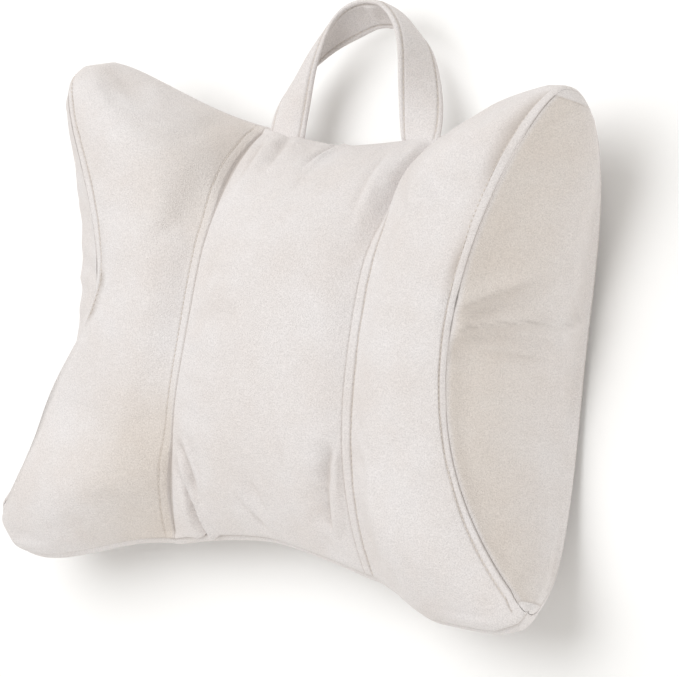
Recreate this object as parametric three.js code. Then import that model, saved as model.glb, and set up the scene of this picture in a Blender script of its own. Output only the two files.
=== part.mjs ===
// Lumbar pillow in short-pile velvet with drawn-in sides and a carrying handle, lying on its back.
// Millimetres. X runs across the pillow, Y to the edge with the handle, Z up out of the face.
// The origin is the middle of the flat spot that the back rests on.
import * as THREE from "three";
import { LoftGeometry } from "three/addons/geometries/LoftGeometry.js";
import { mergeVertices } from "three/addons/utils/BufferGeometryUtils.js";

// Centre panel, a row for each half: its width at the top edge and at the bottom edge, and how far its seam
// draws in between.
const PANEL = [
  { side: -1, top: 70.5, bottom: 79.5, drawIn: 10.5 },
  { side: 1, top: 76, bottom: 83, drawIn: 9 },
];
// Top and bottom edges: how far they lie from the origin at the middle and at the panel seams, and how high.
const EDGES = {
  top: { middle: 133, left: 142.5, right: 144.5, height: 33 },
  bottom: { middle: -141, left: -151.5, right: -155.5, height: 48 },
};
// Corners, one row each: where the side seams end, and the rounded lobe that the wing fills out beyond them,
// with the share of the wing over which it swells to its full size.
const CORNERS = [
  { side: -1, end: "top", x: 206, y: 158, height: 76, lobe: 27, full: 1.25, puff: 12 },
  { side: 1, end: "top", x: 201, y: 169, height: 76, lobe: 10.5, full: 0.67, puff: 12 },
  { side: -1, end: "bottom", x: 222, y: -145, height: 66, lobe: 29.5, full: 0.87, puff: 14 },
  { side: 1, end: "bottom", x: 224.5, y: -159, height: 66, lobe: 21, full: 0.47, puff: 14 },
];
// Side seams: how far the waist is drawn in on the face, left and right, and on the back, and how much lower
// than the middle it sits.
const WAIST = { left: 68, right: 65, lower: 22, back: 14.5, backLower: 3 };
// The lower left side slumps: its seam moves out and down, and the wing rolls out past it.
const SLUMP = { out: 22.5, down: 11, at: -0.45, spread: 0.32, roll: 21.5 };
// Crown of the face above the edges, and how much more of it lies towards the top.
const CROWN = { seam: 52, seamTilt: 9, side: 16, sideTilt: 14, tip: 6, centrePuff: 13, wingPuff: 16 };
// Depth of the back below the edges.
const BACK = { middle: 48, side: 65 };
// Outward bulge of the leaf-shaped side panels in their upper and lower halves.
const GUSSETS = [
  { side: -1, upper: 20, lower: 13 },
  { side: 1, upper: 20, lower: 10 },
];
// Topstitched band along a seam: distance from the seam, and lift of the cloth there.
const BAND = [
  { off: 0, lift: -1.2 },
  { off: 1.6, lift: 0.8 },
  { off: 5.6, lift: 0.8 },
  { off: 7, lift: -0.8 },
  { off: 9.6, lift: 0 },
];
// Handle: a soft sewn strap that leans a little to the right. Its front edge turns up and over towards the
// crest, slowly on the left leg and sharply on the right one, and as it turns, both edges curl towards the
// inside of the loop. The gap lies between its ends and the top seam.
const STRAP = {
  width: 30, thick: 4.2, gap: 0.3,
  shift: 3, left: 54.5, right: 57.5, rise: 86.5, lean: 6, droop: 3, turn: 118,
};
const CURLS = [
  { at: -0.55, spread: 0.3, depth: 9.5 },
  { at: 0.18, spread: 0.22, depth: 5.5 },
];
// How finely the surfaces are divided.
const ROWS = 36;
const CENTRE_STEPS = [0.2, 0.4, 0.58, 0.74, 0.86, 0.95];
const WING_STEPS = [0.14, 0.26, 0.38, 0.5, 0.62, 0.74, 0.86];
const GUSSET_STEPS = [0.1, 0.2, 0.3, 0.4, 0.5];
const STRAP_STEPS = 48;

const VELVET = new THREE.Color("#e6dfd9");

const { lerp, clamp, smoothstep, degToRad } = THREE.MathUtils;
// A rounded rise over -1 to 1 that is nought at both ends.
const dome = (t, shoulder, edge) => Math.max(0, 1 - Math.abs(t) ** shoulder) ** edge;
const corner = (side, end) => CORNERS.find((c) => c.side === side && c.end === end);

// Half width of the centre panel at t, which runs from -1 at the bottom edge to 1 at the top edge.
function seamX(side, t) {
  const { top, bottom, drawIn } = PANEL.find((p) => p.side === side);
  return lerp(bottom, top, (1 + t) / 2) - drawIn * (1 - t * t);
}

// How much of the slump is felt at t, nought at both ends.
function slumpAt(side, t) {
  return side < 0 ? Math.exp(-(((t - SLUMP.at) / SLUMP.spread) ** 2)) * (1 - t * t) : 0;
}

// Half width of the pillow at t, on its face or on its back.
function sideX(side, t, onBack) {
  const straight = lerp(corner(side, "bottom").x, corner(side, "top").x, (1 + t) / 2);
  if (onBack) return straight - (WAIST.back - WAIST.backLower * t) * (1 - t * t);
  const drawn = (side < 0 ? WAIST.left : WAIST.right) - WAIST.lower * t;
  return straight - drawn * (1 - t * t) + SLUMP.out * slumpAt(side, t);
}

// How far the edge has bowed from the middle at k, the share of the centre panel. The strap's right foot
// pulls the top edge up early.
function bow(end, side, k) {
  return k ** (end === "top" && side > 0 ? 1.3 : 1.8);
}

// Place along Y and height of the top or bottom edge: k is the share of the centre panel, r of the wing.
function edgeAt(end, side, k, r) {
  const edge = EDGES[end];
  const seam = side < 0 ? edge.left : edge.right;
  const tip = corner(side, end);
  const out = Math.sign(tip.y) * tip.lobe * smoothstep(r, 0, tip.full) * dome(r, 9, 0.5);
  return {
    y: lerp(edge.middle, seam, bow(end, side, k)) + (tip.y - seam) * r + out,
    z: lerp(edge.height, tip.height, r ** 1.3),
  };
}

// A point on the face or back. A station is a line from the bottom edge to the top edge.
function clothAt(station, t, onBack) {
  const { side, k, share, off, lift } = station;
  const inner = seamX(side, t);
  const wing = sideX(side, t, onBack) - inner;
  const r = k < 1 ? 0 : share + off / wing;
  const roll = side < 0 && !onBack ? SLUMP.roll * smoothstep(-t, -0.2, 0.5) * dome(t, 12, 0.6) : 0;
  const x = side * (k < 1 ? inner * k : inner + wing * r + roll * Math.sin(Math.PI * r ** 5));
  const top = edgeAt("top", side, k, r);
  const bottom = edgeAt("bottom", side, k, r);
  const y = lerp(bottom.y, top.y, (1 + t) / 2);
  const z = lerp(bottom.z, top.z, (1 + t) / 2);
  if (onBack) {
    const deep = lerp(BACK.middle, BACK.side, r ** 1.5) * dome(t, 2.8, 0.55);
    return new THREE.Vector3(x, y, Math.max(0, z - deep));
  }
  const atSeam = (CROWN.seam + CROWN.seamTilt * t) * dome(t, 2.72, 0.9);
  const sewn = (CROWN.side + CROWN.sideTilt * t) * dome(t, 4, 0.5) + CROWN.tip * dome(t, 10, 0.5);
  const atSide = sewn - SLUMP.down * slumpAt(side, t);
  const centre = CROWN.centrePuff * dome(k, 2, 1.1) * dome(t, 3, 0.55);
  const steep = smoothstep(side < 0 ? Math.abs(t) : t, 0.45, 0.8);
  const rise = lerp(0.8 * smoothstep(r, -0.02, 0.4), 1, steep);
  const hump = rise * Math.max(0, 4 * r * (1 - r)) ** 0.95;
  const lobe = corner(side, t > 0 ? "top" : "bottom").puff * Math.exp(-(((Math.abs(t) - 0.75) / 0.2) ** 2));
  const puff = hump * (CROWN.wingPuff * dome(t, 4, 0.5) + lobe * dome(t, 6, 0.5));
  return new THREE.Vector3(x, y, z + lerp(atSeam, atSide, r) + centre + puff + lift * dome(t, 12, 1));
}

// A point on a side panel, q of the way from the face's seam to the back's.
function gussetAt(station, t, q) {
  const face = clothAt(station, t, false);
  const back = clothAt({ ...station, lift: 0 }, t, true);
  const point = face.lerp(back, q);
  const { upper, lower } = GUSSETS.find((g) => g.side === station.side);
  const bulge = lerp(upper, lower, smoothstep(-t, -0.2, 0.5)) * dome(t, 8, 0.5);
  point.x += station.side * bulge * Math.sin(Math.PI * q) ** 1.3;
  return point;
}

// The stations of the right half, from the middle to the side seam.
const half = [];
CENTRE_STEPS.forEach((k) => half.push({ k, share: 0, off: 0, lift: 0 }));
BAND.forEach(({ off, lift }) => half.push({ k: 1, share: 0, off, lift }));
WING_STEPS.forEach((share) => half.push({ k: 1, share, off: 0, lift: 0 }));
BAND.toReversed().forEach(({ off, lift }) => half.push({ k: 1, share: 1, off: -off, lift }));
const stations = [
  ...half.toReversed().map((s) => ({ ...s, side: -1 })),
  { side: 1, k: 0, share: 0, off: 0, lift: 0 },
  ...half.map((s) => ({ ...s, side: 1 })),
];

// Rows crowd towards both edges, where the cloth turns over.
const rows = Array.from({ length: ROWS + 1 }, (_, i) => Math.sin((Math.PI / 2) * (1 - (2 * i) / ROWS)));
const inside = rows.slice(1, -1).toReversed();

// A ring round the pillow: down the face from the top edge and up the back again.
const ring = (face, back) => [...rows.map(face), ...inside.map(back)];
const clothRing = (s) => ring((t) => clothAt(s, t, false), (t) => clothAt(s, t, true));
const gussetRing = (s, q) => ring((t) => gussetAt(s, t, q), (t) => gussetAt(s, t, 1 - q));

// Joins the points that meet, and leaves out the triangles that shrink to a line at the tips.
function closed(geometry) {
  const bare = new THREE.BufferGeometry();
  bare.setAttribute("position", geometry.getAttribute("position"));
  bare.setIndex(geometry.getIndex());
  const merged = mergeVertices(bare, 1e-3);
  const from = merged.getIndex().array;
  const kept = [];
  for (let i = 0; i < from.length; i += 3) {
    const [a, b, c] = [from[i], from[i + 1], from[i + 2]];
    if (a !== b && b !== c && c !== a) kept.push(a, b, c);
  }
  merged.setIndex(kept);
  merged.computeVertexNormals();
  return merged;
}

// The filled pillow: side panel, wing, centre panel, wing, side panel, lofted in one.
const first = stations[0];
const last = stations[stations.length - 1];
const rings = [
  ...GUSSET_STEPS.toReversed().map((q) => gussetRing(first, q)),
  ...stations.map(clothRing),
  ...GUSSET_STEPS.map((q) => gussetRing(last, q)),
];
const pillow = new THREE.Mesh(
  closed(new LoftGeometry(rings, { closed: true })),
  new THREE.MeshStandardMaterial({ color: VELVET, roughness: 0.9, metalness: 0 }),
);
pillow.name = "pillow";

// Outline of the strap across its width and thickness, with rounded edges.
const STRAP_ACROSS = [0.95, 0.64, 0.32, 0, -0.32, -0.64, -0.95];
const STRAP_OUTLINE = [
  [1, 0.35],
  ...STRAP_ACROSS.map((w) => [w, 1]),
  [-1, 0.35],
  [-1, -0.35],
  ...STRAP_ACROSS.toReversed().map((w) => [w, -1]),
  [1, -0.35],
];

// Height of the strap's sewn ends above the pillow's top edge line, for a point at x.
function strapFoot(x) {
  const side = x < 0 ? -1 : 1;
  const k = Math.min(Math.abs(x) / seamX(side, 1), 1);
  const seam = side < 0 ? EDGES.top.left : EDGES.top.right;
  return lerp(EDGES.top.middle, seam, bow("top", side, k)) + STRAP.gap;
}

// The middle of the strap at a, which runs from -1 at the left foot to 1 at the right foot.
function strapMiddle(a) {
  const turn = (a * Math.PI) / 2;
  const straight = 0.2 + 0.2 * Math.sin(turn);
  const reach = a < 0 ? STRAP.left : STRAP.right;
  return new THREE.Vector3(
    STRAP.shift + reach * lerp(Math.sin(turn), a, straight) + STRAP.lean * Math.cos(turn) ** 2,
    strapFoot(STRAP.left) + STRAP.rise * Math.cos(turn),
    EDGES.top.height - STRAP.droop * Math.cos(turn),
  );
}

// A section across the strap at a: an arc that is deepest where the strap curls most.
function strapSection(a) {
  const middle = strapMiddle(a);
  const along = strapMiddle(a + 1e-3).sub(strapMiddle(a - 1e-3)).normalize();
  const up = new THREE.Vector3(0, 0, 1).addScaledVector(along, -along.z).normalize();
  const outward = new THREE.Vector3().crossVectors(up, along);
  const share = a < 0 ? smoothstep(a, -1, -0.2) : clamp((1 - a) / 0.94, 0, 1) ** 0.8;
  const twist = degToRad(STRAP.turn) * share;
  const across = outward.multiplyScalar(-Math.cos(twist)).addScaledVector(up, Math.sin(twist));
  const inward = new THREE.Vector3().crossVectors(along, across);
  const depth = CURLS.reduce((sum, c) => sum + c.depth * Math.exp(-(((a - c.at) / c.spread) ** 2)), 0.6);
  const radius = STRAP.width ** 2 / (8 * depth);
  const atFoot = Math.abs(a) > 0.999;
  return STRAP_OUTLINE.map(([w, h]) => {
    const angle = (w * STRAP.width) / 2 / radius;
    const from = radius - (h * STRAP.thick) / 2;
    const p = middle.clone().addScaledVector(across, from * Math.sin(angle));
    p.addScaledVector(inward, radius - depth / 2 - from * Math.cos(angle));
    if (atFoot) p.y = strapFoot(p.x);
    return p;
  });
}

const strapPlaces = Array.from({ length: STRAP_STEPS + 1 }, (_, i) => (2 * i) / STRAP_STEPS - 1);
const strapSections = strapPlaces.map(strapSection);
const strap = new THREE.Mesh(
  closed(new LoftGeometry(strapSections, { closed: true, capStart: true, capEnd: true })),
  new THREE.MeshStandardMaterial({ color: VELVET, roughness: 0.9, metalness: 0 }),
);
strap.name = "handle_strap";

const group = new THREE.Group();
group.add(pillow, strap);

export default group;
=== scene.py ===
import bpy
import numpy as np
from mathutils import Matrix


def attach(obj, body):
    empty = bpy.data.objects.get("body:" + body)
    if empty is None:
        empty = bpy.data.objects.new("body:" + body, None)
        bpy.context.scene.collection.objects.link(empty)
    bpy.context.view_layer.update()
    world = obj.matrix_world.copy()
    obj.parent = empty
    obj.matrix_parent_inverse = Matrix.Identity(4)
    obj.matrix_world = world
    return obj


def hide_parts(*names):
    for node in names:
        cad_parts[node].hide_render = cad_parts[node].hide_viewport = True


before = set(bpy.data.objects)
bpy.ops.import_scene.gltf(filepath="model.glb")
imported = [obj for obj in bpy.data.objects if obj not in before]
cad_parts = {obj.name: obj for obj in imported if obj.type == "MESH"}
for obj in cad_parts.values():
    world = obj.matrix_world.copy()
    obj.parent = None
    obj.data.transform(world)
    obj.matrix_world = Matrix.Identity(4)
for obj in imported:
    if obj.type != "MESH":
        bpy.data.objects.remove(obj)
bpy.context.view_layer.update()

# Filled cover: a centre panel, two wings, a back and two leaf-shaped side panels of short-pile velvet.
# They are sewn inside out, turned and filled with fibre, so the panels crown and the seams stay low.
# Sizes are in millimetres; a pair is for the left and the right side.
MM = 0.001
TOP = {
    "middle": 133, "seam": (142.5, 144.5), "bow": (1.8, 1.3), "panel": (70.5, 76), "low": 33,
    "x": (210.5, 204.5), "y": (165, 174), "high": 76, "lobe": (26.5, 8.5), "start": (0.06, 0),
    "full": (1.29, 0.64), "round": (11, 8), "puff": 12, "leaf_end": (0.985, 0.95), "roll": 1,
    "inset": (13, 6),
}
BOTTOM = {
    "middle": -140.7, "seam": (-151.5, -155.5), "bow": (1.8, 1.35), "panel": (79.5, 83), "low": 48,
    "x": (223.5, 223), "y": (-145.5, -162), "high": 66, "lobe": (32.5, 19), "start": (0, 0),
    "full": (0.9, 0.47), "round": (7.3, 11), "puff": 14, "leaf_end": (0.97, 0.968), "roll": -3.5,
    "inset": (4.5, 2.5),
}
SIDE = {
    "panel": (10.5, 9), "waist": (72, 65), "waist_lower": 22, "back": 14.5, "back_lower": 3,
    "let_out": (25, 0), "roll": (0, 2), "roll_low": (26, 3), "bulge": (23, 19.5), "bulge_low": (14.5, 9.5),
}
SLUMP = {"at": -0.45, "reach": 0.32, "sink": 0.5}
CROWN = {
    "seam": 52, "seam_upper": 9, "side": 16, "side_upper": 14, "lip": 6, "centre": 13, "wing": 16,
    "belly": 48, "belly_corner": 65,
}


def lerp(start, end, share):
    """Straight blend from start at share 0 to end at share 1."""
    return start + (end - start) * share


def smooth(x, low, high):
    """Soft step: 0 below low, 1 above high, 3s^2 - 2s^3 between."""
    s = np.clip((x - low) / (high - low), 0, 1)
    return s * s * (3 - 2 * s)


def dome(t, shoulder, edge):
    """Rounded rise over -1 to 1, (1 - |t|^shoulder)^edge, nought at both ends."""
    return np.clip(1 - np.abs(t) ** shoulder, 0, None) ** edge


def bell(x, width):
    """Gaussian about nought, exp(-(x / width)^2)."""
    return np.exp(-((x / width) ** 2))


def of_side(pair, side):
    """The left value of a pair where side is -1 and the right one where it is 1."""
    return np.where(side < 0, pair[0], pair[1])


def panel_half(side, t):
    """Half width of the centre panel: a straight taper less a parabola that draws its seams in."""
    straight = lerp(of_side(BOTTOM["panel"], side), of_side(TOP["panel"], side), (1 + t) / 2)
    return straight - of_side(SIDE["panel"], side) * (1 - t * t)


def slump(t):
    """Gaussian in t about the lower part of the side, nought at the ends."""
    return bell(t - SLUMP["at"], SLUMP["reach"]) * (1 - t * t)


def pillow_half(side, t, on_back):
    """Half width of the pillow: a straight taper less a parabola, deep on the face, slight on the back. The
    face slumps out on the lower left as a Gaussian in t."""
    straight = lerp(of_side(BOTTOM["x"], side), of_side(TOP["x"], side), (1 + t) / 2)
    if on_back:
        return straight - (SIDE["back"] - SIDE["back_lower"] * t) * (1 - t * t)
    drawn_in = of_side(SIDE["waist"], side) - SIDE["waist_lower"] * t
    return straight - drawn_in * (1 - t * t) + of_side(SIDE["let_out"], side) * slump(t)


def edge_line(end, side, k, r):
    """Y and Z of the top or bottom edge: a shallow bow over the centre panel, then a straight run to the
    corner plus a lobe, a soft step in r that a dome in r rounds off at the corner, and a height that climbs
    as r^1.3 to the curled corner."""
    tip, seam = of_side(end["y"], side), of_side(end["seam"], side)
    start, full = of_side(end["start"], side), of_side(end["full"], side)
    lobe = np.sign(tip) * of_side(end["lobe"], side) * smooth(r, start, full)
    lobe = lobe * dome(r, of_side(end["round"], side), 0.5)
    y = lerp(end["middle"], seam, k ** of_side(end["bow"], side)) + (tip - seam) * r + lobe
    return y, lerp(end["low"], end["high"], r**1.3)


def cover_point(side, a, t, on_back):
    """A point of face or back. a is 0 at the middle, 1 at the panel seam and 2 at the side seam; t is -1 at
    the bottom edge and 1 at the top; k and r are the shares of the way over the centre panel and the wing.
    Height is the straight line between the two edges, plus domes in t for the crown at each seam and between
    them and a parabola in r for the fullness of a wing, or less one dome on the back, which stops at the flat
    rest. The back rolls out a little past the edges, and the wings past the side seams."""
    k, r = np.minimum(a, 1), np.maximum(a - 1, 0)
    inner = panel_half(side, t)
    x = side * np.where(a < 1, inner * k, inner + (pillow_half(side, t, on_back) - inner) * r)
    (y_top, z_top), (y_low, z_low) = edge_line(TOP, side, k, r), edge_line(BOTTOM, side, k, r)
    y, z = lerp(y_low, y_top, (1 + t) / 2), lerp(z_low, z_top, (1 + t) / 2)
    if on_back:
        near_edge = np.clip((1 - np.abs(t)) / 0.035, 0, 1)
        y = y + np.where(t > 0, TOP["roll"], BOTTOM["roll"]) * np.sin(np.pi * near_edge**0.8)
        z = np.maximum(z - lerp(CROWN["belly"], CROWN["belly_corner"], r**1.5) * dome(t, 2.8, 0.55), 0)
    else:
        roll = lerp(of_side(SIDE["roll"], side), of_side(SIDE["roll_low"], side), smooth(-t, -0.2, 0.5))
        x = x + side * roll * np.sin(np.pi * r**5) * dome(t, 12, 0.6)
        at_seam = (CROWN["seam"] + CROWN["seam_upper"] * t) * dome(t, 2.72, 0.9)
        at_side = (CROWN["side"] + CROWN["side_upper"] * t) * dome(t, 4, 0.5)
        at_side = at_side + CROWN["lip"] * dome(t, 10, 0.5)
        at_side = at_side - SLUMP["sink"] * of_side(SIDE["let_out"], side) * slump(t)
        corner = np.where(t > 0, TOP["puff"], BOTTOM["puff"]) * bell(np.abs(t) - 0.75, 0.2)
        hump = np.clip(4 * r * (1 - r), 0, None) ** 0.95
        steep = smooth(np.where(side < 0, np.abs(t), t), 0.45, 0.8)
        hump = hump * lerp(0.8 * smooth(r, -0.02, 0.4), 1, steep)
        z = z + lerp(at_seam, at_side, r) + CROWN["centre"] * dome(k, 2, 1.1) * dome(t, 3, 0.55)
        z = z + hump * (CROWN["wing"] * dome(t, 4, 0.5) + corner * dome(t, 6, 0.5))
    return np.stack(np.broadcast_arrays(x, y, z), -1)


def leaf_end(side, t):
    """Where along t the side panel's short end seam lies."""
    return np.where(t > 0, of_side(TOP["leaf_end"], side), of_side(BOTTOM["leaf_end"], side))


def cover_grids(t, side, across, q):
    """Face, back, left leaf and right leaf as grids of points, rows along t. across(side, t, on_back) gives
    a for each column. A leaf runs straight from the face's seam to the back's, plus a sine bulge outwards."""
    t = t[:, None]
    grids = [cover_point(side, across(side, t, on_back), t, on_back) for on_back in (False, True)]
    for hand in (-1, 1):
        face, back = (cover_point(np.array([hand]), np.array([[2.0]]), t, b) for b in (False, True))
        leaf = lerp(face, back, q[None, :, None])
        bulge = lerp(of_side(SIDE["bulge"], hand), of_side(SIDE["bulge_low"], hand), smooth(-t, -0.2, 0.5))
        leaf[..., 0] += hand * bulge * np.sin(np.pi * q) ** 1.3 * dome(t, 8, 0.5)
        grids.append(leaf)
    return grids


def sew(grids):
    """Joins grids where their borders meet: points equal to a micrometre share a vertex, and a cell with two
    equal corners becomes a triangle. Gives the points, the vertex numbers of each grid, the place of each
    point in the grids, the quads and the triangles."""
    points = np.concatenate([g.reshape(-1, 3) for g in grids])
    keys = np.round(points * 1000).astype(np.int64)
    _, first, joined = np.unique(keys, axis=0, return_index=True, return_inverse=True)
    numbers = np.split(joined.reshape(-1), np.cumsum([g[..., 0].size for g in grids])[:-1])
    numbers = [n.reshape(g.shape[:2]) for n, g in zip(numbers, grids)]
    cells = []
    for n, turned in zip(numbers, (False, True, False, True)):
        cell = np.stack([n[:-1, :-1], n[:-1, 1:], n[1:, 1:], n[1:, :-1]], -1).reshape(-1, 4)
        cells.append(cell[:, ::-1] if turned else cell)
    cells = np.concatenate(cells)
    same = cells == np.roll(cells, -1, axis=1)
    quads, thin = cells[same.sum(1) == 0], same.sum(1) == 1
    return points[first], numbers, first, quads, cells[thin][~same[thin]].reshape(-1, 3)


def normals_of(points, quads, triangles):
    """Unit normals of the points: the sum of the normals of the faces round each, which are the cross product
    of a quad's diagonals or of two sides of a triangle."""
    total = np.zeros_like(points)
    for faces, lines in ((quads, ((0, 2), (1, 3))), (triangles, ((0, 1), (0, 2)))):
        one, two = (points[faces[:, end]] - points[faces[:, start]] for start, end in lines)
        np.add.at(total, faces, np.cross(one, two)[:, None, :])
    return total / np.maximum(np.linalg.norm(total, axis=1, keepdims=True), 1e-9)


def make_piece(name, points, faces):
    """A mesh object at the origin from points in millimetres and a list of faces."""
    mesh = bpy.data.meshes.new(name)
    mesh.from_pydata((points * MM).tolist(), [], faces)
    mesh.polygons.foreach_set("use_smooth", np.ones(len(mesh.polygons), bool))
    piece = bpy.data.objects.new(name, mesh)
    bpy.context.scene.collection.objects.link(piece)
    return piece


# The filling is blown in on a coarse net of the cover: seams are pinned, the cloth between them is a little
# longer than its place and under pressure, so it swells and puckers where the seams hold it.
NET = {"centre": 11, "wing": 15, "rows": 50, "leaf": 12, "crowd": 0.75}
SWELL = {"steps": 24, "most": 9, "rounds": 14, "broad": 0.85}


def net_row(t):
    """Row number of t on the net, whose rows crowd towards the edges as a stretched sine."""
    s = np.arcsin(np.clip(t, -1, 1) * np.sin(NET["crowd"] * np.pi / 2)) / (NET["crowd"] * np.pi / 2)
    return (s + 1) / 2 * NET["rows"]


def net_column(side, a):
    """Column number on the net of a point at a, even over the centre panel and over each wing."""
    outward = NET["centre"] * np.minimum(a, 1) + NET["wing"] * np.maximum(a - 1, 0)
    return NET["centre"] + NET["wing"] + side * outward


def blow_in(points, quads, triangles, pinned):
    """Steps Blender's cloth with pressure on the net and gives how far each point moved, in millimetres."""
    net = make_piece("net", points, quads.tolist() + triangles.tolist())
    group = net.vertex_groups.new(name="seams")
    group.add(pinned.tolist(), 1, "REPLACE")
    cloth = net.modifiers.new("filling", "CLOTH")
    rules = cloth.settings
    rules.quality = 6
    rules.mass = 0.15
    rules.tension_stiffness = rules.compression_stiffness = 12
    rules.shear_stiffness = 6
    rules.bending_stiffness = 0.4
    rules.tension_damping = rules.compression_damping = rules.shear_damping = 8
    rules.air_damping = 2
    rules.use_pressure = True
    rules.uniform_pressure_force = 3
    rules.shrink_min = -0.035
    rules.vertex_group_mass = "seams"
    rules.effector_weights.gravity = 0
    cloth.collision_settings.use_collision = False
    for step in range(1, SWELL["steps"] + 1):
        bpy.context.scene.frame_set(step)
    blown = net.evaluated_get(bpy.context.evaluated_depsgraph_get()).data
    moved = np.empty(len(points) * 3)
    blown.vertices.foreach_get("co", moved)
    bpy.data.objects.remove(net)
    bpy.context.scene.frame_set(1)
    return moved.reshape(-1, 3) / MM - points


def ripples(grid):
    """What is left of a grid of moves when most of its broad part, a repeated mean of neighbours, is taken
    off, because the form above already has the crown."""
    broad = grid
    for _ in range(SWELL["rounds"]):
        pad = np.pad(broad, ((1, 1), (1, 1), (0, 0)), "edge")
        broad = (pad[:-2, 1:-1] + pad[2:, 1:-1] + pad[1:-1, :-2] + pad[1:-1, 2:] + 4 * broad) / 8
    return grid - SWELL["broad"] * broad


def sample(grid, i, j):
    """Reads a coarse grid between its points: Catmull-Rom cubics along both ways."""
    def taps(x, count):
        base = np.clip(np.floor(x).astype(int), 0, count - 2)
        f = (x - base)[..., None]
        weights = [((2 - f) * f - 1) * f / 2, ((3 * f - 5) * f * f + 2) / 2, ((4 - 3 * f) * f + 1) * f / 2,
                   (f - 1) * f * f / 2]
        return np.clip(base[..., None] + np.arange(-1, 3), 0, count - 1), np.concatenate(weights, -1)
    i, j = np.broadcast_arrays(i, j)
    (row, row_weight), (column, column_weight) = taps(i, grid.shape[0]), taps(j, grid.shape[1])
    around = grid[row[..., :, None], column[..., None, :]]
    return np.einsum("...a,...b,...abc->...c", row_weight, column_weight, around)


net_s = np.linspace(-1, 1, NET["rows"] + 1)
net_t = np.sin(NET["crowd"] * np.pi / 2 * net_s) / np.sin(NET["crowd"] * np.pi / 2)
net_t[[0, -1]] = -1, 1
net_a = np.concatenate([np.linspace(0, 1, NET["centre"] + 1), np.linspace(1, 2, NET["wing"] + 1)[1:]])
net_side = np.concatenate([-np.ones(len(net_a) - 1), np.ones(len(net_a))])
net_a = np.concatenate([net_a[:0:-1], net_a])
net_q = np.linspace(0, 1, NET["leaf"] + 1)
net_grids = cover_grids(net_t, net_side, lambda side, t, on_back: net_a + 0 * t, net_q)
net_points, net_numbers, _, net_quads, net_thin = sew(net_grids)
face_net, back_net = net_numbers[:2]
seam_columns = [0, NET["wing"], NET["wing"] + 2 * NET["centre"], -1]
held = [face_net[:, seam_columns].ravel(), face_net[[0, -1]].ravel(), back_net[:, [0, -1]].ravel()]
flat = np.flatnonzero(net_points[:, 2] < 0.01)
swell = blow_in(net_points, net_quads, net_thin, np.unique(np.concatenate([*held, flat])))
far = np.linalg.norm(swell, axis=1, keepdims=True)
swell *= SWELL["most"] * np.tanh(far / SWELL["most"]) / np.maximum(far, 1e-9)

# The finished cover takes that swell on a fine grid, whose columns crowd where the seams and their
# topstitching run, given as distances from the seam in millimetres.
FINE = {"rows": 165, "centre": 52, "wing": 26, "leaf": 24}
NEAR = np.array([0.4, 0.8, 1.3, 2.1, 3.3, 4.6, 5.6, 6.2, 6.6, 7.0, 7.4, 7.8, 8.5, 9.7, 11.2])
INWARD = np.array([6.5, 4.6, 3.2, 2.1, 1.3, 0.7, 0.3])
half_base = np.concatenate([
    np.linspace(0, 0.88, FINE["centre"]), np.ones(len(INWARD) + 1 + len(NEAR)),
    np.linspace(1.17, 1.83, FINE["wing"]), np.full(len(NEAR) + 1, 2.0),
])
half_step = np.concatenate([
    np.zeros(FINE["centre"]), -INWARD, [0], NEAR, np.zeros(FINE["wing"]), -0.65 * NEAR[::-1], [0],
])
fine_side = np.concatenate([-np.ones(len(half_base) - 1), np.ones(len(half_base))])
fine_base = np.concatenate([half_base[:0:-1], half_base])
fine_step = np.concatenate([half_step[:0:-1], half_step])


def fine_across(side, t, on_back):
    """a of the fine columns: the base value plus the distance from its seam over the width of that panel."""
    inner = panel_half(side, t)
    on_centre = fine_base + np.sign(fine_step) * 0.01 <= 1
    return fine_base + fine_step / np.where(on_centre, inner, pillow_half(side, t, on_back) - inner)


fine_t = np.sin(np.pi / 2 * np.linspace(-1, 1, FINE["rows"]))
fine_q = np.concatenate([
    [0, 0.006, 0.014, 0.024, 0.038, 0.056, 0.08], np.linspace(0.11, 0.89, FINE["leaf"]),
    [0.92, 0.944, 0.962, 0.976, 0.986, 0.994, 1],
])
fine_grids = cover_grids(fine_t, fine_side, fine_across, fine_q)
fine_points, fine_numbers, fine_first, fine_quads, fine_thin = sew(fine_grids)

# The turned corners are blunt, because the seam allowance fills them from inside. Their tips are drawn in,
# then softened, and the fine grid is read again from the moved points.
BLUNT = {"full": 25, "reach": 70, "soft": (3, 18), "weight": 0.9, "rounds": 40}


def blunt(points, tip, inset):
    """Rounds a pointed corner: along the level line from the tip to the pillow's middle, the distance s from
    the outermost point becomes the hyperbola (s^2 + inset^2)^0.5, and that move fades out with distance."""
    away = points - tip
    far = np.linalg.norm(away, axis=1)
    inward = np.array([-tip[0], -tip[1], 0]) / np.hypot(tip[0], tip[1])
    s = away @ inward
    s -= s[far < BLUNT["reach"]].min()
    share = (1 - smooth(far, BLUNT["full"], BLUNT["reach"])) * (far < BLUNT["reach"])
    points += ((np.hypot(s, inset) - s) * share)[:, None] * inward


def soften(points, kinds, weight, rounds):
    """Rounds off creases: each point moves by its weight towards the mean of its neighbours, in rounds."""
    ends = np.concatenate([faces[:, [i, i - 1]] for faces in kinds for i in range(faces.shape[1])])
    ends = np.concatenate([ends, ends[:, ::-1]])
    ends = ends[weight[ends[:, 0]] > 0]
    count = np.maximum(np.bincount(ends[:, 0], minlength=len(points)), 1)[:, None]
    touched = np.unique(ends[:, 0])
    for _ in range(rounds):
        total = np.zeros_like(points)
        for c in range(3):
            total[:, c] = np.bincount(ends[:, 0], points[ends[:, 1], c], len(points))
        points[touched] += weight[touched, None] * (total[touched] / count[touched] - points[touched])


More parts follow.
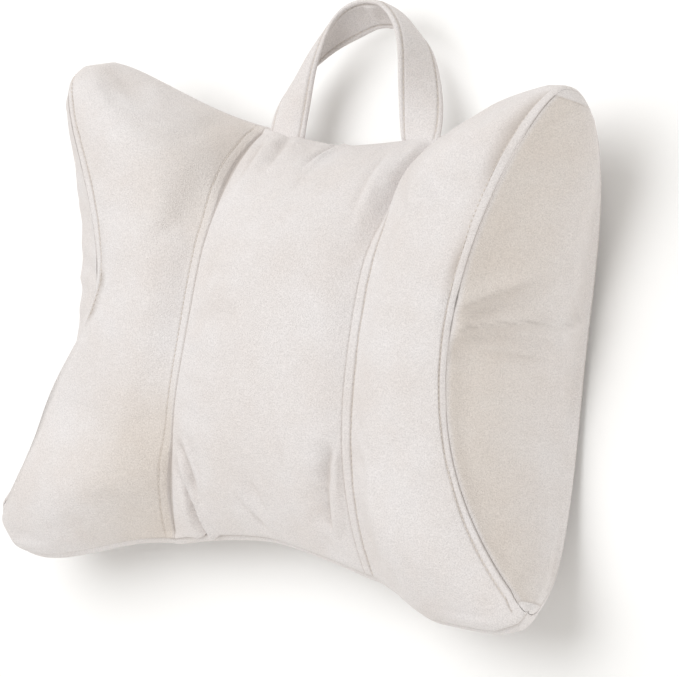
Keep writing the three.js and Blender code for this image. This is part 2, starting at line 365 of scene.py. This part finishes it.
tips = fine_points[[fine_numbers[0][i, j] for i in (0, -1) for j in (0, -1)]]
to_tip = np.linalg.norm(fine_points[:, None] - tips, axis=2).min(1)
for tip, inset in zip(tips, (*BOTTOM["inset"], *TOP["inset"])):
    blunt(fine_points, tip, inset)
tip_weight = BLUNT["weight"] * (1 - smooth(to_tip, *BLUNT["soft"]))
soften(fine_points, (fine_quads, fine_thin), tip_weight, BLUNT["rounds"])
fine_grids = [fine_points[n] for n in fine_numbers]

# The swell counts most in the middle of a panel and fades out towards its seams. Only a share of it is
# taken, a smaller one on the face and back than on the side panels, because the form already has the crown.
LOOSE = {"panel": 0.22, "edge": 0.06, "share": 0.45, "leaf": 0.15, "leaf_edge": 0.15, "leaf_share": 0.6}
row = net_row(fine_t)[:, None]
moved = []
for index, number in enumerate(net_numbers):
    if index < 2:
        a = fine_across(fine_side, fine_t[:, None], index == 1)
        column = net_column(fine_side, a)
        loose = smooth(np.minimum(np.abs(a - 1), 2 - a), 0, LOOSE["panel"])
        loose = loose * smooth(1 - np.abs(fine_t), 0, LOOSE["edge"])[:, None] * LOOSE["share"]
    else:
        column = fine_q[None, :] * NET["leaf"]
        loose = smooth(np.minimum(fine_q, 1 - fine_q), 0, LOOSE["leaf"])
        loose = loose * smooth(1 - np.abs(fine_t), 0, LOOSE["leaf_edge"])[:, None] * LOOSE["leaf_share"]
    moved.append((sample(ripples(swell[number]), row, column) * loose[..., None]).reshape(-1, 3))
cover = fine_points + np.concatenate(moved)[fine_first]

# Seams, and the folds that the maker's hand and the filling leave. Each fold is a soft trough with a ridge
# beside it, from one point to another on the face (x, y) or on a side panel (z, y). BAND is the allowance
# topstitched beside a seam; depths and widths are in millimetres, and a line is how dark the velvet is
# painted along a seam, stitch groove or fold crease: partly the ground where the pile parts, partly painted
# shade in that hollow.
BAND = {"width": 7, "rise": 0.4}
# The panel seams' ditch and groove depths also weigh their dark lines: the right line of each pair is the
# darker, painted shade for a lamp on the left.
PANEL_SEAM = {"ditch": (1.0, 0.5), "groove": (0.55, 1.0)}
HOLLOW = {"left": 3, "right": 9, "wing": (16, 4.5), "centre": (7, 6.5)}
SIDE_SEAM = {"ditch": 0.5, "groove": 0.95, "line": 0.6, "stitch_groove_shade": 1.2}
BACK_SEAM = {"ditch": 0.5, "width": 0.9, "line": 0.5}
RIM = {"ditch": 1.6, "width": 1.4, "line": 0.8, "tuck": 0.7, "tuck_reach": 40}
LEAF = {"ditch": 0.25, "end_ditch": 0.5, "width": 0.7, "folds": (0.2, 1), "fold_line": 0.4, "line": 0.6}
FACE_FOLDS = [
    # x0, y0, x1, y1, bow, width, lean, depth, ridge, fade in, fade out
    (-68, -95, -49, -147, 3, 2.4, 1.8, 6.0, 0.70, 0.30, 0.02),
    (-67, -82, -47, -126, 3.6, 3.9, 1.0, 4.4, 0.45, 0.25, 0.35),
    (-58, -76, -40, -120, 4, 4.0, 1.0, 1.5, 0.20, 0.40, 0.40),
    (-65, -116, -58, -150, 0, 4.6, 1.0, -2.2, 0.0, 0.50, 0.06),
    (-16, -112, 6, -138, -2, 3.0, 1.2, 2.0, 0.50, 0.45, 0.20),
    (0, -104, 11, -126, 1, 3.2, 1.2, 1.4, 0.45, 0.40, 0.30),
    (27, -70, 31, -101, 1, 5.5, 1.0, 1.2, 0.35, 0.45, 0.45),
    (67, -72, 62, -134, -1.5, 4.0, 1.6, 4.8, 0.45, 0.20, 0.15),
    (-1, 137, -6, 106, -5.4, 2.6, 1.5, 3.4, 0.50, 0.15, 0.60),
    (45, 136, 53, 62, 1.5, 3.6, 1.1, 2.0, 0.45, 0.20, 0.55),
    (-50, 140, -36, 100, 3, 4.2, 1.2, 2.8, 0.40, 0.24, 0.60),
    (-64, 138, -54, 92, 2, 4.0, 1.0, 3.0, 0.25, 0.24, 0.55),
    (-182, 171, -128, 133, 3, 7.0, 1.3, 2.2, 0.40, 0.15, 0.60),
    (170, 128, 187, 142, 0, 3.4, 1.0, 0.9, 0.60, 0.40, 0.30),
]
LEAF_FOLDS = [
    # z0, y0, z1, y1, bow, width, lean, depth, ridge, fade in, fade out
    (97, 20, 50, 57, -1.5, 5.4, 1.2, 5.8, 0.50, 0.15, 0.60),
    (95, 6, 38, 24, -5.0, 5.2, 1.2, 6.6, 0.50, 0.12, 0.35),
    (56, 21, 14, 31, 1.0, 4.8, 1.1, 4.8, 0.45, 0.40, 0.35),
    (94, 4, 36, -2, 0.5, 5.0, 1.2, 5.0, 0.45, 0.15, 0.60),
]


def folds(u, v, rows):
    """Height of the listed folds at the points (u, v), and how dark each crease is painted, a painted shade
    in its trough. Across each runs a pinched trough, lean times wider on one side than on the other, with a
    Gaussian ridge beside it; along it a soft fade at both ends; bow bends it."""
    height = np.zeros(np.broadcast(u, v).shape)
    crease_shade = np.zeros_like(height)
    for u0, v0, u1, v1, bow, width, lean, depth, ridge, fade_in, fade_out in rows:
        length = np.hypot(u1 - u0, v1 - v0)
        eu, ev = (u1 - u0) / length, (v1 - v0) / length
        along = ((u - u0) * eu + (v - v0) * ev) / length
        beside = (u - u0) * -ev + (v - v0) * eu - bow * 4 * along * (1 - along)
        fade = smooth(along, 0, fade_in) * (1 - smooth(along, 1 - fade_out, 1))
        wide = width * np.where(beside < 0, lean, 1 / lean)
        trough = np.exp(-(np.abs(beside / wide) ** 1.5))
        height += depth * fade * (ridge * bell(beside - 1.7 * width, 1.2 * width) - trough)
        crease_shade = np.maximum(crease_shade, depth / 8 * fade * bell(beside, 0.4 * width))
    return height, crease_shade


def ditch(d, depth, width):
    """Height across a plain seam: a Gaussian ditch."""
    return -depth * bell(d, width)


def sewn_band(d, at_seam, at_stitches):
    """Height across a topstitched seam, d from the seam on its stitched side: a Gaussian ditch at the seam, a
    flat raised band, and a Gaussian groove under the stitches. Depths are for the ditch and the groove."""
    band = BAND["rise"] * smooth(d, 0.2, 1.8) * (1 - smooth(d, BAND["width"] - 1.6, BAND["width"] + 0.3))
    return band + ditch(d, at_seam, 0.55) + ditch(d - BAND["width"], at_stitches, 0.6)


def seam_distances(grid):
    """Distances over the face or back: to the top or bottom edge along the columns, and along the rows out
    from the panel seam, negative on the centre panel, and in from the side seam."""
    arc = np.cumsum(np.linalg.norm(np.diff(grid, axis=0, prepend=grid[:1]), axis=2), 0)
    row_arc = np.cumsum(np.linalg.norm(np.diff(grid, axis=1, prepend=grid[:, :1]), axis=2), 1)
    at_seam = (fine_base == 1) & (fine_step == 0)
    left, right = (row_arc[:, at_seam & (fine_side == hand)] for hand in (-1, 1))
    from_panel = np.where(fine_side < 0, left - row_arc, row_arc - right)
    return np.minimum(arc, arc[-1] - arc), from_panel, np.minimum(row_arc, row_arc[:, -1:] - row_arc)


def rim_open(from_panel):
    """How open the seam of the top and bottom edge lies: all of it, but less under the left wing, where the
    cloth rolls over the bottom edge, as a soft step in the distance from the panel seam."""
    rolled = (fine_side < 0) & (fine_t[:, None] < 0)
    return np.where(rolled, 1 - RIM["tuck"] * smooth(from_panel, 0, RIM["tuck_reach"]), 1)


def face_relief(grid, to_edge, from_panel, from_side):
    """Height, dark lines and warm painted shade of the face: the folds, both topstitched seams, a pinched
    hollow along the panel seams that deepens towards the edges, and the rim's ditch. The lines are painted
    shade in the seam ditches, stitch grooves, fold creases and rim, partly the ground where the pile parts.
    The warm painted shade lies on the wing beside the left seam, where the wing slopes into it. It is
    heaviest towards the bottom edge and nought at the middle, and it fades out over the wing."""
    t = fine_t[:, None]
    sewn = smooth(leaf_end(fine_side, t) - np.abs(t), -0.004, 0.004)
    at_seam, at_stitches = of_side(PANEL_SEAM["ditch"], fine_side), of_side(PANEL_SEAM["groove"], fine_side)
    height, crease_shade = folds(grid[..., 0], grid[..., 1], FACE_FOLDS)
    height = height * smooth(np.abs(from_panel), 0, 5)
    height = height + smooth(to_edge, 0, 8) * sewn_band(from_panel, at_seam, at_stitches)
    height = height + sewn * sewn_band(from_side, SIDE_SEAM["ditch"], SIDE_SEAM["groove"])
    sunk_left = HOLLOW["left"] * smooth(np.abs(t), 0.3, 0.75)
    sunk_right = HOLLOW["right"] * smooth(t, 0.3, 0.78)
    sunk = of_side((sunk_left, sunk_right), fine_side) * smooth(to_edge, 0, 7)
    on_wing, on_centre = of_side(HOLLOW["wing"], fine_side), of_side(HOLLOW["centre"], fine_side)
    reach = np.where(from_panel > 0, on_wing, on_centre)
    height = height - sunk * np.exp(-(np.abs(from_panel / reach) ** 1.5))
    height = height + ditch(to_edge, RIM["ditch"], RIM["width"]) * rim_open(from_panel)
    # Dark lines: painted shade in the seam ditches, stitch grooves, fold creases and rim, partly parted pile.
    line = np.maximum.reduce([
        crease_shade,
        at_seam * bell(from_panel, 0.5),
        at_stitches * bell(from_panel - BAND["width"], 0.55),
        SIDE_SEAM["line"] * sewn * bell(from_side, 0.5),
        SIDE_SEAM["stitch_groove_shade"] * sewn * bell(from_side - BAND["width"], 0.65),
        RIM["line"] * rim_open(from_panel) * bell(to_edge, 0.8),
    ])
    # Warm painted shade beside the left panel seam, where the wing slopes into it.
    turned = np.where(t < 0, 1, 0.6) * smooth(np.abs(t), 0.1, 0.6) * (fine_side < 0)
    return height, line, turned * (1 - smooth(from_panel, 10, 90)) * smooth(from_panel, 0, 2)


def back_relief(to_edge, from_panel, from_side):
    """Height, dark seam lines and warm painted shade of the back: ditches at its side seams and at the rim,
    whose lines are partly painted shade, and no warm painted shade."""
    height = ditch(from_side, BACK_SEAM["ditch"], BACK_SEAM["width"])
    height = height + ditch(to_edge, RIM["ditch"], RIM["width"]) * rim_open(from_panel)
    rim_line = RIM["line"] * rim_open(from_panel) * bell(to_edge, 0.8)
    line = np.maximum(BACK_SEAM["line"] * bell(from_side, 0.8), rim_line)
    return height, line, np.zeros_like(line)


def leaf_relief(grid, hand):
    """Height, dark lines and warm painted shade of a side panel: its folds, slight on the left, and ditches
    at the two long seams and at the short end seams, whose lines are partly painted shade. On the right one a
    warm painted shade lies over it, most beside the face and fading towards the back."""
    arc = np.cumsum(np.linalg.norm(np.diff(grid, axis=0, prepend=grid[:1]), axis=2), 0)
    middle = arc[:, len(fine_q) // 2]
    low, high = (np.interp(e * leaf_end(hand, np.array(e)), fine_t, middle) for e in (-1, 1))
    to_end = np.minimum(middle - low, high - middle)[:, None]
    inside = smooth(to_end, -0.5, 0.5)
    near = np.minimum(fine_q, 1 - fine_q) * np.linalg.norm(grid[:, -1] - grid[:, 0], axis=1)[:, None]
    folded = folds(grid[..., 2], grid[..., 1], LEAF_FOLDS)
    height, crease_shade = (of_side(LEAF["folds"], hand) * values for values in folded)
    height = height + ditch(near, LEAF["ditch"], LEAF["width"]) * inside
    height = height + ditch(to_end, LEAF["end_ditch"], LEAF["width"])
    line = np.maximum(LEAF["fold_line"] * crease_shade, LEAF["line"] * bell(near, 0.6) * inside)
    line = np.maximum(line, bell(to_end, 0.6))
    # Warm painted shade over the right side panel, most beside the face.
    turned = of_side((0, 1), hand) * inside * smooth(near, 0, 4) * (1 - 0.9 * smooth(fine_q, 0.1, 0.8))
    return height, line, turned


face_gaps, back_gaps = (seam_distances(grid) for grid in fine_grids[:2])
reliefs = [
    face_relief(fine_grids[0], *face_gaps),
    back_relief(*back_gaps),
    leaf_relief(fine_grids[2], -1),
    leaf_relief(fine_grids[3], 1),
]
height, line, turned = (np.concatenate([v.ravel() for v in kind])[fine_first] for kind in zip(*reliefs))
height = height * smooth(to_tip, 4, 16)
cover += normals_of(cover, fine_quads, fine_thin) * height[:, None]
cover[:, 2] = np.maximum(cover[:, 2], 0)
pillow = make_piece("pillow_cover", cover, fine_quads.tolist() + fine_thin.tolist())
# Dark lines, partly parted pile and partly painted shade, and a warm painted shade, kept on the points for
# the velvet.
for name, values in (("seam_pile_and_shade", line), ("warm_painted_shade", turned)):
    pillow.data.attributes.new(name, "FLOAT", "POINT").data.foreach_set("value", values)


def linear(code):
    """Linear RGBA of an sRGB hex colour."""
    s = np.array([int(code[i:i + 2], 16) for i in (1, 3, 5)]) / 255
    return (*np.where(s <= 0.04045, s / 12.92, ((s + 0.055) / 1.055) ** 2.4), 1.0)


def add(tree, kind, settings=None, links=None):
    """Adds a node of a kind, gives its properties and unlinked sockets their values, and links the others."""
    node = tree.nodes.new(kind)
    for name, value in (settings or {}).items():
        if isinstance(name, int) or name in node.inputs:
            node.inputs[name].default_value = value
        else:
            setattr(node, name, value)
    for name, source in (links or {}).items():
        tree.links.new(source, node.inputs[name])
    return node


# Short-pile velvet: a dense cut pile over a knitted ground. The pile scatters light softly, glows towards
# grazing angles and lies in patches that read a shade lighter or darker. Along the seams, stitch grooves and
# fold creases it is darkened, partly for the ground where the pile parts and partly as painted shade in those
# hollows. Beside the left panel seam and over the right side panel it is mixed towards tan as a warm painted
# shade. A real tuft is about 0.3 mm wide; it is drawn coarser, at 0.9 mm, so that the pile shows at all.
PILE = {"patch": 38, "tuft": 0.9, "relief": 1.0}
velvet = bpy.data.materials.new("ivory_short_pile_velvet")
velvet.use_nodes = True
tree = velvet.node_tree
tree.nodes.clear()
place = add(tree, "ShaderNodeTexCoord").outputs["Object"]
nap = add(tree, "ShaderNodeTexNoise", {"Scale": 1 / (PILE["patch"] * MM), "Detail": 3.0, "Roughness": 0.55},
          {"Vector": place})
tuft = add(tree, "ShaderNodeTexNoise", {"Scale": 1 / (PILE["tuft"] * MM), "Detail": 1.0, "Roughness": 0.5},
           {"Vector": place})
patch = add(tree, "ShaderNodeMapRange", {"From Min": 0.32, "From Max": 0.68}, {"Value": nap.outputs["Fac"]})
ivory = add(tree, "ShaderNodeMix", {"data_type": "RGBA", 6: linear("#e2dcd9"), 7: linear("#e6e2e1")},
            {0: patch.outputs["Result"]})
# Warm painted shade: a mix towards tan beside the left panel seam and over the right side panel.
turned = add(tree, "ShaderNodeAttribute", {"attribute_name": "warm_painted_shade"})
turned = add(tree, "ShaderNodeMath", {"operation": "MULTIPLY", 1: 0.33}, {0: turned.outputs["Fac"]})
shaded_ivory = add(tree, "ShaderNodeMix", {"data_type": "RGBA", 7: linear("#c6b6a0")},
          {0: turned.outputs[0], 6: ivory.outputs[2]})
speck = add(tree, "ShaderNodeMapRange", {"From Min": 0.3, "From Max": 0.7, "To Min": 0.89, "To Max": 1.06},
            {"Value": tuft.outputs["Fac"]})
piled = add(tree, "ShaderNodeMix", {"data_type": "RGBA", "blend_type": "MULTIPLY", 0: 1.0},
            {6: shaded_ivory.outputs[2], 7: speck.outputs["Result"]})
# Dark lines: a mix towards grey-brown along the seams, stitch grooves and fold creases, partly the ground
# where the pile parts and partly painted shade.
seam = add(tree, "ShaderNodeAttribute", {"attribute_name": "seam_pile_and_shade"})
pile_and_shade_share = add(tree, "ShaderNodeMath", {"operation": "MULTIPLY", 1: 0.5}, {0: seam.outputs["Fac"]})
coloured = add(tree, "ShaderNodeMix", {"data_type": "RGBA", 7: linear("#a89b8f")},
               {0: pile_and_shade_share.outputs[0], 6: piled.outputs[2]})
fuzz = add(tree, "ShaderNodeBump", {"Strength": 0.6, "Distance": PILE["relief"] * MM},
           {"Height": tuft.outputs["Fac"]})
surface = add(tree, "ShaderNodeBsdfPrincipled",
              {"Roughness": 0.92, "Specular IOR Level": 0.2, "Sheen Weight": 0.35, "Sheen Roughness": 0.45,
               "Sheen Tint": linear("#fffaf6")},
              {"Base Color": coloured.outputs[2], "Normal": fuzz.outputs["Normal"]})
add(tree, "ShaderNodeOutputMaterial", {}, {"Surface": surface.outputs["BSDF"]})
pillow.data.materials.append(velvet)
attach(pillow, "root")
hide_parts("pillow")

# Topstitching: runs of lockstitch in spun polyester thread of the cover's colour, 3.6 mm to a stitch. They
# hold the seam allowance down at the far side of the bands beside the panel seams and the side seams.
STITCH = {"pitch": 3.6, "length": 2.9, "radius": 0.32, "bow": 0.45, "sunk": 0.2, "from_end": 5}


def stitches(path, up):
    """Thread along a path of points with normals: at each pitch one stitch, a six-sided rod that thins as
    (1 - u^4)^0.5 to its ends and bows as 1 - u^2 out of the cloth. Gives points, walls and end caps."""
    arc = np.concatenate([[0], np.cumsum(np.linalg.norm(np.diff(path, axis=0), axis=1))])
    at = np.arange(STITCH["from_end"], arc[-1] - STITCH["from_end"], STITCH["pitch"])[:, None]
    u = np.linspace(-1, 1, 5)[None, :]
    s = at + u * STITCH["length"] / 2
    middle = np.stack([np.interp(s, arc, path[:, c]) for c in range(3)], -1)
    lift = np.stack([np.interp(s, arc, up[:, c]) for c in range(3)], -1)
    lift /= np.linalg.norm(lift, axis=-1, keepdims=True)
    along = middle[:, -1:] - middle[:, :1]
    along /= np.linalg.norm(along, axis=-1, keepdims=True)
    beside = np.cross(along, lift)
    angle = np.arange(6) * np.pi / 3
    radius = STITCH["radius"] * np.sqrt(1.02 - u**4)[..., None, None]
    ring = np.cos(angle)[:, None] * beside[:, :, None] + np.sin(angle)[:, None] * lift[:, :, None]
    bowed = middle + lift * (STITCH["bow"] * (1 - u**2) - STITCH["sunk"])[..., None]
    points = bowed[:, :, None] + radius * ring
    number = np.arange(points[..., 0].size).reshape(points.shape[:3])
    ahead = np.roll(number, -1, axis=2)
    walls = np.stack([number[:, :-1], number[:, 1:], ahead[:, 1:], ahead[:, :-1]], -1).reshape(-1, 4)
    caps = np.concatenate([number[:, 0], number[:, -1, ::-1]])
    return points.reshape(-1, 3), walls, caps


def sew_on(name, runs):
    """One mesh from many runs of stitches."""
    points, faces, used = [], [], 0
    for run_points, walls, caps in runs:
        points.append(run_points)
        faces += (walls + used).tolist() + (caps + used).tolist()
        used += len(run_points)
    return make_piece(name, np.concatenate(points), faces)


def beside_seam(values, distance, columns):
    """Values of the face at the stitches beside a seam: each row is read between its columns, sorted by
    distance."""
    middle = distance[len(distance) // 2, columns]
    order = columns if middle[0] < middle[-1] else columns[::-1]
    rows = zip(distance[:, order], values[:, order])
    return np.array([[np.interp(BAND["width"], d, v[:, c]) for c in range(3)] for d, v in rows])


up = normals_of(cover, fine_quads, fine_thin)
face_cover, face_up = cover[fine_numbers[0]], up[fine_numbers[0]]
_, face_panel, face_side = face_gaps
runs = []
for hand in (-1, 1):
    wing = (fine_side == hand) & (fine_base >= 1)
    inner = np.flatnonzero(wing & (fine_step >= 0) & (fine_base < 1.3))
    runs.append(stitches(*(beside_seam(v, face_panel, inner) for v in (face_cover, face_up))))
    outer = np.flatnonzero(wing & (fine_base > 1.7))
    kept = np.abs(fine_t) < leaf_end(hand, fine_t) - 0.004
    runs.append(stitches(*(beside_seam(v, face_side, outer)[kept] for v in (face_cover, face_up))))
seam_thread = sew_on("seam_stitches", runs)

# Spun polyester thread: two plies twisted together. The eye gets a low sheen and a faint change of tone
# from ply to ply, 0.5 mm apart.
PLY = 0.5
thread = bpy.data.materials.new("ivory_spun_thread")
thread.use_nodes = True
tree = thread.node_tree
tree.nodes.clear()
place = add(tree, "ShaderNodeTexCoord").outputs["Object"]
ply = add(tree, "ShaderNodeTexNoise", {"Scale": 1 / (PLY * MM), "Detail": 1.0}, {"Vector": place})
spun = add(tree, "ShaderNodeMix", {"data_type": "RGBA", 6: linear("#d3cabf"), 7: linear("#e6dfd8")},
           {0: ply.outputs["Fac"]})
surface = add(tree, "ShaderNodeBsdfPrincipled", {"Roughness": 0.6, "Specular IOR Level": 0.3},
              {"Base Color": spun.outputs[2]})
add(tree, "ShaderNodeOutputMaterial", {}, {"Surface": surface.outputs["BSDF"]})
seam_thread.data.materials.append(thread)
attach(seam_thread, "root")

# Carrying strap: a folded strip of the same velvet, 30 mm wide, topstitched along both edges. Its ends are
# caught in the top seam. Its front edge turns up and over towards the crest, slowly on the left leg and
# sharply on the right, and one face has a small pleat just left of the crest.
STRAP = {
    "half": 15, "thick": 2.1, "shift": 3, "reach": (54.5, 57.5), "rise": 86.5, "lean": 6, "droop": 3,
    "stitch": 11.6, "groove": 0.8, "full": 0.3, "turn": 118, "arc": 0.6, "curl": (9.5, 5.5), "wave": 0.6,
    "pleat": 2.4,
}


def strap_foot(x):
    """Y of the pillow's top edge at x over the centre panel."""
    k = np.minimum(np.abs(x) / of_side(TOP["panel"], x), 1)
    return lerp(TOP["middle"], of_side(TOP["seam"], x), k ** of_side(TOP["bow"], x))


def strap_middle(a):
    """Middle line of the strap at a, -1 to 1 from foot to foot: half an ellipse with partly straightened legs
    that leans to the right as the squared cosine. Past the feet it goes straight down into the seam."""
    turn = np.clip(a, -1, 1) * np.pi / 2
    sway = lerp(np.sin(turn), np.clip(a, -1, 1), 0.2 + 0.2 * np.sin(turn))
    x = STRAP["shift"] + of_side(STRAP["reach"], a) * sway + STRAP["lean"] * np.cos(turn) ** 2
    y = strap_foot(STRAP["reach"][0]) + STRAP["rise"] * np.cos(turn) - np.maximum(np.abs(a) - 1, 0) * 100
    return np.stack([x, y, TOP["low"] - STRAP["droop"] * np.cos(turn)], -1)


def strap_frame(a):
    """Middle line of the strap with its across and normal directions: flat in the seam at the feet, and
    turned most at the crest, as a soft step on the left leg and as a power on the right."""
    along = strap_middle(a + 1e-3) - strap_middle(a - 1e-3)
    along /= np.linalg.norm(along, axis=-1, keepdims=True)
    up = np.array([0, 0, 1]) - along * along[..., 2:]
    up /= np.linalg.norm(up, axis=-1, keepdims=True)
    share = np.where(a < 0, smooth(a, -1, -0.2), np.clip((1 - a) / 0.94, 0, 1) ** 0.8)
    twist = np.radians(STRAP["turn"]) * share[..., None]
    across = np.sin(twist) * up - np.cos(twist) * np.cross(up, along)
    return strap_middle(a), across, np.cross(along, across)


def strap_half(w):
    """Half thickness at w across the strap: rounded edges, a slight fullness, and a groove at each row of
    stitches."""
    full = STRAP["thick"] * dome(w / STRAP["half"], 8, 0.5) + STRAP["full"] * dome(w / STRAP["stitch"], 2, 1)
    return full - STRAP["groove"] * bell(np.abs(w) - STRAP["stitch"], 0.7)


def strap_at(a, w, h):
    """Points and unit normals of the strap at a along it, w across it and h off its middle. Across, it is an
    arc that is deepest where a Gaussian on each leg curls both edges towards the inside of the loop; along,
    it waves a little."""
    middle, across, inward = (v[:, None] for v in strap_frame(a))
    left, right = STRAP["curl"]
    depth = STRAP["arc"] + left * bell(a + 0.55, 0.3) + right * bell(a - 0.18, 0.22)
    radius = (STRAP["half"] ** 2 / (2 * depth))[:, None]
    angle = w / radius
    normal = inward * np.cos(angle)[..., None] - across * np.sin(angle)[..., None]
    wave = (STRAP["wave"] * np.sin(a * 9 + 0.6) * dome(a, 6, 1))[:, None] + h
    centre = middle + inward * (radius - depth[:, None] / 2)[..., None]
    return centre - normal * (radius - wave)[..., None], normal


def strap_pleat(a, w):
    """Rise of the pleat: along the strap a Gaussian, steep on its left and long on its right, that runs
    slantwise at the front edge; across, a dome between the two rows of stitches."""
    off = a + 0.07 - 0.05 * smooth(-w, 4, 12)
    return STRAP["pleat"] * bell(off, np.where(off < 0, 0.025, 0.1)) * dome(w / STRAP["stitch"], 4, 1)


strap_a = np.concatenate([[-1.07, -1.03], np.linspace(-1, 1, 181), [1.03, 1.07]])
half_w = STRAP["half"] * np.sin(np.pi / 2 * np.linspace(-1, 1, 41))
strap_w = np.concatenate([half_w, half_w[-2:0:-1]])
strap_h = np.concatenate([strap_half(half_w), -strap_half(half_w[-2:0:-1])])
strap_h = strap_h + strap_pleat(strap_a[:, None], strap_w) * (strap_h > 0)
strap_points, _ = strap_at(strap_a, strap_w[None], strap_h)
number = np.arange(strap_points[..., 0].size).reshape(strap_points.shape[:2])
ahead = np.roll(number, -1, axis=1)
walls = np.stack([number[:-1], ahead[:-1], ahead[1:], number[1:]], -1).reshape(-1, 4)
caps = [number[0].tolist()[::-1], number[-1].tolist()]
strap = make_piece("handle_strap_cover", strap_points.reshape(-1, 3), walls.tolist() + caps)
# Dark lines along the strap's stitch grooves: painted shade in the grooves.
stitch_groove_shade = bell(np.abs(strap_w) - STRAP["stitch"], 0.5) + 0 * strap_a[:, None]
strap.data.attributes.new("seam_pile_and_shade", "FLOAT", "POINT").data.foreach_set("value", stitch_groove_shade.ravel())
strap.data.materials.append(velvet)
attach(strap, "root")
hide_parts("handle_strap")

# Strap stitching: two rows of the same thread on each face of the strap, in the grooves along its edges.
# They sew the two layers of the folded strip together.
runs = []
for face in (1, -1):
    for w in (-STRAP["stitch"], STRAP["stitch"]):
        path, normal = strap_at(strap_a[2:-2], np.array([[w]]), face * strap_half(np.array([[w]])))
        runs.append(stitches(path[:, 0], face * normal[:, 0]))
strap_thread = sew_on("strap_stitches", runs)
strap_thread.data.materials.append(thread)
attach(strap_thread, "root")

# Floor: a pale seamless sheet that the pillow lies on, a hair below it.
# It reaches far past the picture, so that no edge of it shows from any side.
FLOOR = {"half": 40000, "below": 0.2}
corners = np.array([[-1, -1], [1, -1], [1, 1], [-1, 1]]) * FLOOR["half"]
floor = make_piece("floor", np.column_stack([corners, np.full(4, -FLOOR["below"])]), [[0, 1, 2, 3]])
paper = bpy.data.materials.new("pale_studio_floor")
paper.use_nodes = True
paper.node_tree.nodes["Principled BSDF"].inputs["Base Color"].default_value = linear("#fdfdfc")
paper.node_tree.nodes["Principled BSDF"].inputs["Roughness"].default_value = 0.9
floor.data.materials.append(paper)

# Light: a wide soft lamp from the upper left of the picture, a long low one well out to the right, and an
# even, slightly warm surround.
key_data = bpy.data.lights.new("soft_key", "AREA")
key_data.shape = "DISK"
key_data.size = 3.2
key_data.energy = 67
key_data.color = (0.975, 0.985, 1)
key = bpy.data.objects.new("soft_key", key_data)
key.location = (-0.85, 0.7, 2.9)
key.rotation_euler = key.location.to_track_quat("Z", "Y").to_euler()
fill_data = bpy.data.lights.new("low_fill", "AREA")
fill_data.shape = "RECTANGLE"
fill_data.size, fill_data.size_y = 4.8, 0.9
fill_data.energy = 64
fill = bpy.data.objects.new("low_fill", fill_data)
fill.location = (4.5, -3.0, 0.6)
fill.rotation_euler = fill.location.to_track_quat("Z", "Y").to_euler()
for lamp in (key, fill):
    lamp.visible_camera = False
    bpy.context.scene.collection.objects.link(lamp)
world = bpy.data.worlds.new("white_surround")
world.use_nodes = True
world.node_tree.nodes["Background"].inputs["Color"].default_value = (1, 0.975, 0.94, 1)
world.node_tree.nodes["Background"].inputs["Strength"].default_value = 0.58
bpy.context.scene.world = world
bpy.context.scene.view_settings.view_transform = "Standard"

# Camera: a long lens to the right of the pillow's face, a little below its middle.
# Its place, turn and focal length are fitted to the photograph.
camera_data = bpy.data.cameras.new("camera")
camera_data.sensor_width = 36
camera_data.lens = 191.5
camera = bpy.data.objects.new("camera", camera_data)
camera.matrix_world = Matrix(((0.80932, -0.08603, 0.58104, 1.4416), (0.15810, 0.98461, -0.07444, -0.1814),
                              (-0.56569, 0.15210, 0.81047, 2.0157), (0, 0, 0, 1)))
bpy.context.scene.collection.objects.link(camera)
bpy.context.scene.camera = camera
